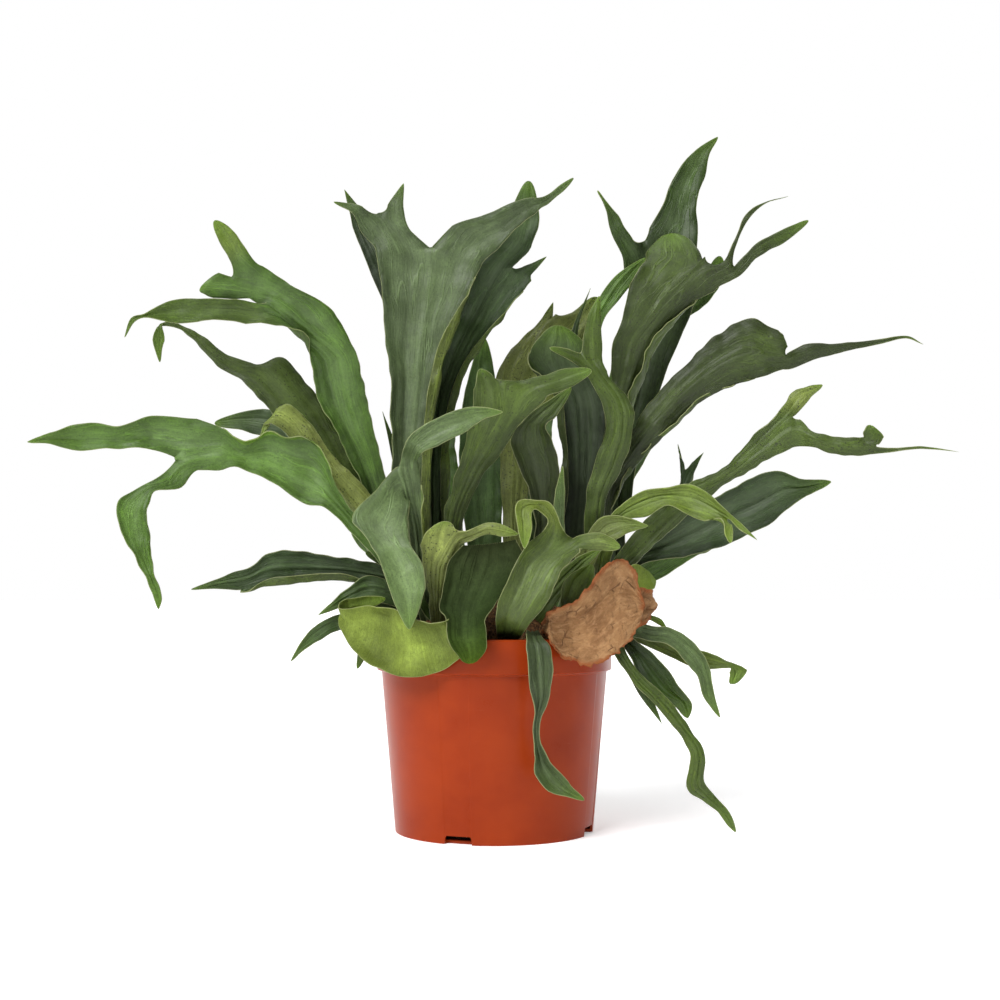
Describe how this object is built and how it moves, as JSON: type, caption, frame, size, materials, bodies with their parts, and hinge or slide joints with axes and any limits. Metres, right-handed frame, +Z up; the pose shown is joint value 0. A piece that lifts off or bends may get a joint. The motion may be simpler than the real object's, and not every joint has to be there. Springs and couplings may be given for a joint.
{
  "type": "staghorn fern in a nursery pot",
  "caption": "Staghorn fern with a crown of long forked grey-green fronds and rounded shield leaves spilling over the rim of a plain terracotta-coloured plastic pot.",
  "frame": {"origin": "centre of the pot's flat underside, on the surface it stands on", "axes": "+Z up along the pot's axis, +X to the right of the side with the dark round shield leaf, -Y towards that side"},
  "size_m": [0.7192, 0.2928, 0.5831],
  "materials": {
    "frond_dark": "felted matt leaf with a faint sheen",
    "frond_fresh": "felted matt leaf with a faint sheen",
    "frond_gloss": "glossy green leaf",
    "frond_green": "felted matt leaf with a faint sheen",
    "frond_grey": "felted matt leaf with a faint sheen",
    "frond_olive": "felted matt leaf with a faint sheen",
    "frond_pale": "felted matt leaf with a faint sheen",
    "frond_under": "felted matt leaf with a faint sheen",
    "pot": "satin moulded plastic",
    "rhizome": "scaly brown fibre",
    "shield_brown": "dry papery skin",
    "shield_lime": "felted matt leaf with a faint sheen",
    "soil": "coarse damp potting mix"
  },
  "bodies": {
    "root": {"frond_back_dark": "frond_dark", "frond_back_left": "frond_dark", "frond_back_mid": "frond_dark", "frond_back_spike": "frond_dark", "frond_back_spiky": "frond_pale", "frond_back_tall_left": "frond_dark", "frond_back_thin": "frond_dark", "frond_centre_curved": "frond_olive", "frond_centre_dark": "frond_dark", "frond_centre_pale": "frond_under", "frond_centre_tall": "frond_grey", "frond_far_centre": "frond_green", "frond_far_left_high": "frond_green", "frond_far_left_low": "frond_green", "frond_far_mid_right": "frond_green", "frond_far_right_high": "frond_green", "frond_far_right_low": "frond_green", "frond_far_trailing": "frond_green", "frond_front_centre": "frond_olive", "frond_front_curl": "frond_pale", "frond_front_left": "frond_grey", "frond_front_olive": "frond_under", "frond_front_strap": "frond_olive", "frond_front_wavy": "frond_pale", "frond_left_arching": "frond_green", "frond_left_folded": "frond_pale", "frond_left_long": "frond_green", "frond_left_low": "frond_dark", "frond_left_olive": "frond_under", "frond_left_small": "frond_dark", "frond_left_small_low": "frond_dark", "frond_right_behind": "frond_green", "frond_right_curly": "frond_under", "frond_right_dark": "frond_dark", "frond_right_fresh": "frond_fresh", "frond_right_long": "frond_under", "frond_right_olive": "frond_under", "frond_right_spikes": "frond_dark", "frond_right_strap": "frond_green", "frond_right_tall": "frond_green", "frond_small_pale": "frond_grey", "frond_trailing_dark": "frond_gloss", "frond_trailing_fresh": "frond_fresh", "frond_trailing_front": "frond_grey", "frond_trailing_long": "frond_under", "frond_trailing_right": "frond_grey", "frond_trailing_thin": "frond_dark", "leaf_left_round": "frond_dark", "leaf_left_tiny": "frond_dark", "leaf_small_hook": "frond_fresh", "pot": "pot", "rhizome": "rhizome", "shield_brown": "shield_brown", "shield_brown_side": "shield_brown", "shield_dark": "frond_dark", "shield_far_green": "frond_dark", "shield_lime": "shield_lime", "shield_lime_right": "shield_lime", "shield_small_green": "frond_fresh", "soil": "soil"}
  },
  "joints": []
}
